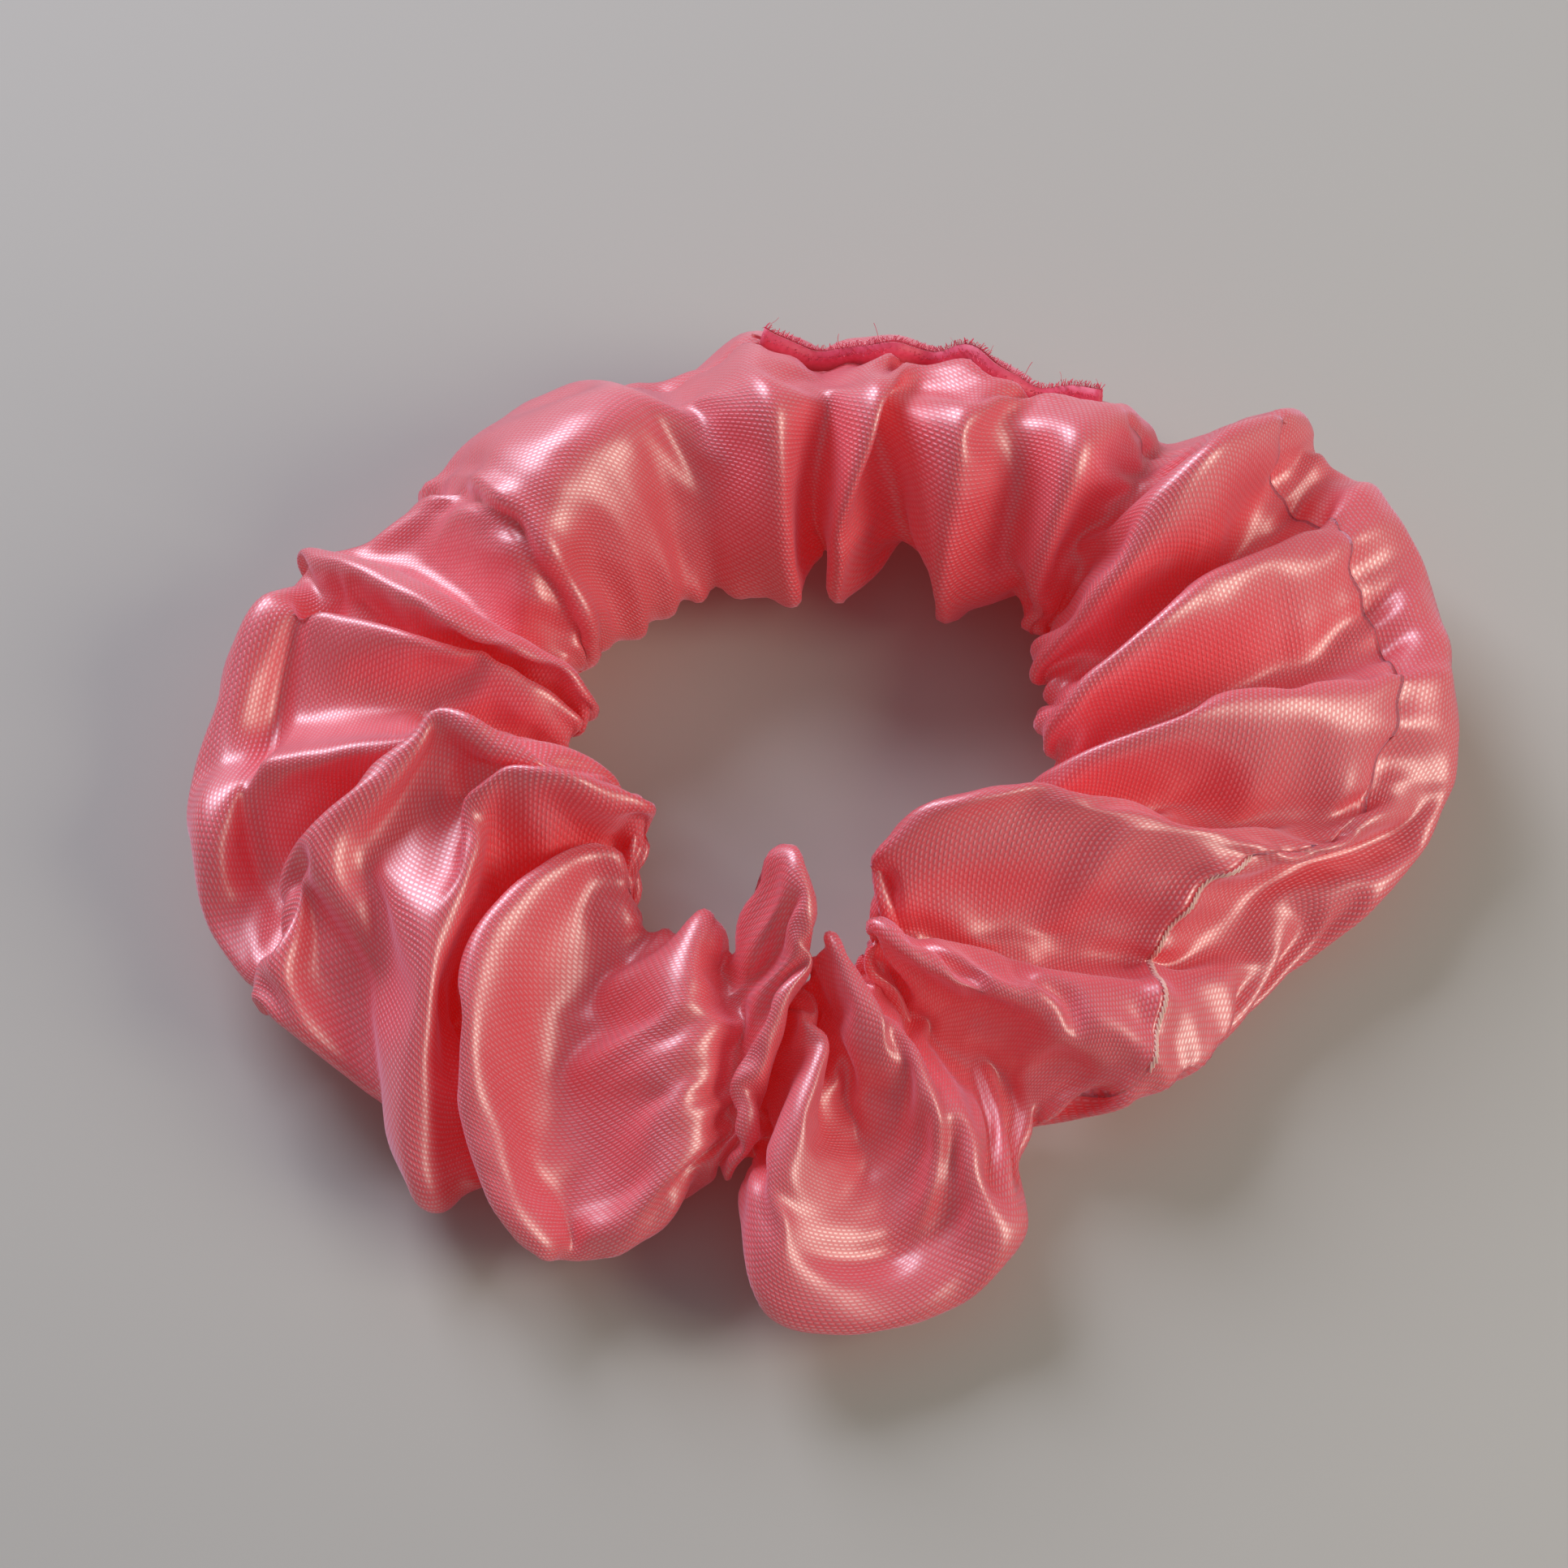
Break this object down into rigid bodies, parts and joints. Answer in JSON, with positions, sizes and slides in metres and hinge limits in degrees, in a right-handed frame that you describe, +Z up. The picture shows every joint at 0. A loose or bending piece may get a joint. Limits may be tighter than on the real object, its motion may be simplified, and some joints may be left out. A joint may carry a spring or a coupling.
{
  "type": "scrunchie",
  "caption": "Fabric scrunchie: a gathered satin tube over an elastic loop, sewn shut at the back, which stretches into an oval to hold hair.",
  "frame": {"origin": "middle of the scrunchie's footprint, on the surface it lies on", "axes": "+Z up, through the opening; +Y towards the sewn-up gap with the frayed edge, at the back; +X to the right, the way it is stretched"},
  "size_m": [0.1134, 0.0922, 0.0282],
  "materials": {
    "cover_satin": "glossy woven satin, coral pink with lilac and cream highlights",
    "raw_edge": "frayed raw satin edge, loose yarns",
    "sewing_thread": "spun polyester sewing thread, tone on tone",
    "elastic": "flat braided elastic, white"
  },
  "bodies": {
    "left_side": {"gather_12": "cover_satin", "gather_13": "cover_satin", "gather_14": "cover_satin", "gather_15": "cover_satin", "elastic_band": "elastic", "elastic_bar_tack": "sewing_thread", "lengthwise_seam_thread": "sewing_thread", "closing_seam_thread": "sewing_thread"},
    "right_side": {"gather_05": "cover_satin", "gather_06": "cover_satin", "gather_07": "cover_satin"},
    "back_left_gather": {"gather_01": "cover_satin"},
    "back_middle_left_gather": {"gather_02": "cover_satin", "frayed_edge_02": "raw_edge", "gap_stitches_02": "sewing_thread"},
    "back_middle_right_gather": {"gather_03": "cover_satin", "frayed_edge_03": "raw_edge", "gap_stitches_03": "sewing_thread"},
    "back_right_gather": {"gather_04": "cover_satin", "frayed_edge_04": "raw_edge", "gap_stitches_04": "sewing_thread"},
    "front_right_gather": {"gather_08": "cover_satin"},
    "front_middle_gather": {"gather_09": "cover_satin"},
    "front_middle_left_gather": {"gather_10": "cover_satin"},
    "front_left_gather": {"gather_11": "cover_satin"}
  },
  "joints": [
    {"name": "stretch", "type": "slide", "parent": "left_side", "child": "right_side", "axis": [1, 0, 0], "range_m": [0, 0.06], "stiffness_N_per_m": 40, "deforming": ["elastic_band", "lengthwise_seam_thread"]},
    {"name": "back_left_follows", "type": "slide", "parent": "left_side", "child": "back_left_gather", "axis": [1, 0, 0], "range_m": [0, 0.0104]},
    {"name": "back_middle_left_follows", "type": "slide", "parent": "left_side", "child": "back_middle_left_gather", "axis": [1, 0, 0], "range_m": [0, 0.0243]},
    {"name": "back_middle_right_follows", "type": "slide", "parent": "left_side", "child": "back_middle_right_gather", "axis": [1, 0, 0], "range_m": [0, 0.0358]},
    {"name": "back_right_follows", "type": "slide", "parent": "left_side", "child": "back_right_gather", "axis": [1, 0, 0], "range_m": [0, 0.0456]},
    {"name": "front_right_follows", "type": "slide", "parent": "left_side", "child": "front_right_gather", "axis": [1, 0, 0], "range_m": [0, 0.051]},
    {"name": "front_middle_follows", "type": "slide", "parent": "left_side", "child": "front_middle_gather", "axis": [1, 0, 0], "range_m": [0, 0.0343]},
    {"name": "front_middle_left_follows", "type": "slide", "parent": "left_side", "child": "front_middle_left_gather", "axis": [1, 0, 0], "range_m": [0, 0.0186]},
    {"name": "front_left_follows", "type": "slide", "parent": "left_side", "child": "front_left_gather", "axis": [1, 0, 0], "range_m": [0, 0.0078]}
  ],
  "couplings": [
    {"joint": "back_left_follows", "follows": "stretch", "ratio": 0.165},
    {"joint": "back_middle_left_follows", "follows": "stretch", "ratio": 0.396},
    {"joint": "back_middle_right_follows", "follows": "stretch", "ratio": 0.589},
    {"joint": "back_right_follows", "follows": "stretch", "ratio": 0.752},
    {"joint": "front_right_follows", "follows": "stretch", "ratio": 0.841},
    {"joint": "front_middle_follows", "follows": "stretch", "ratio": 0.564},
    {"joint": "front_middle_left_follows", "follows": "stretch", "ratio": 0.302},
    {"joint": "front_left_follows", "follows": "stretch", "ratio": 0.122}
  ]
}
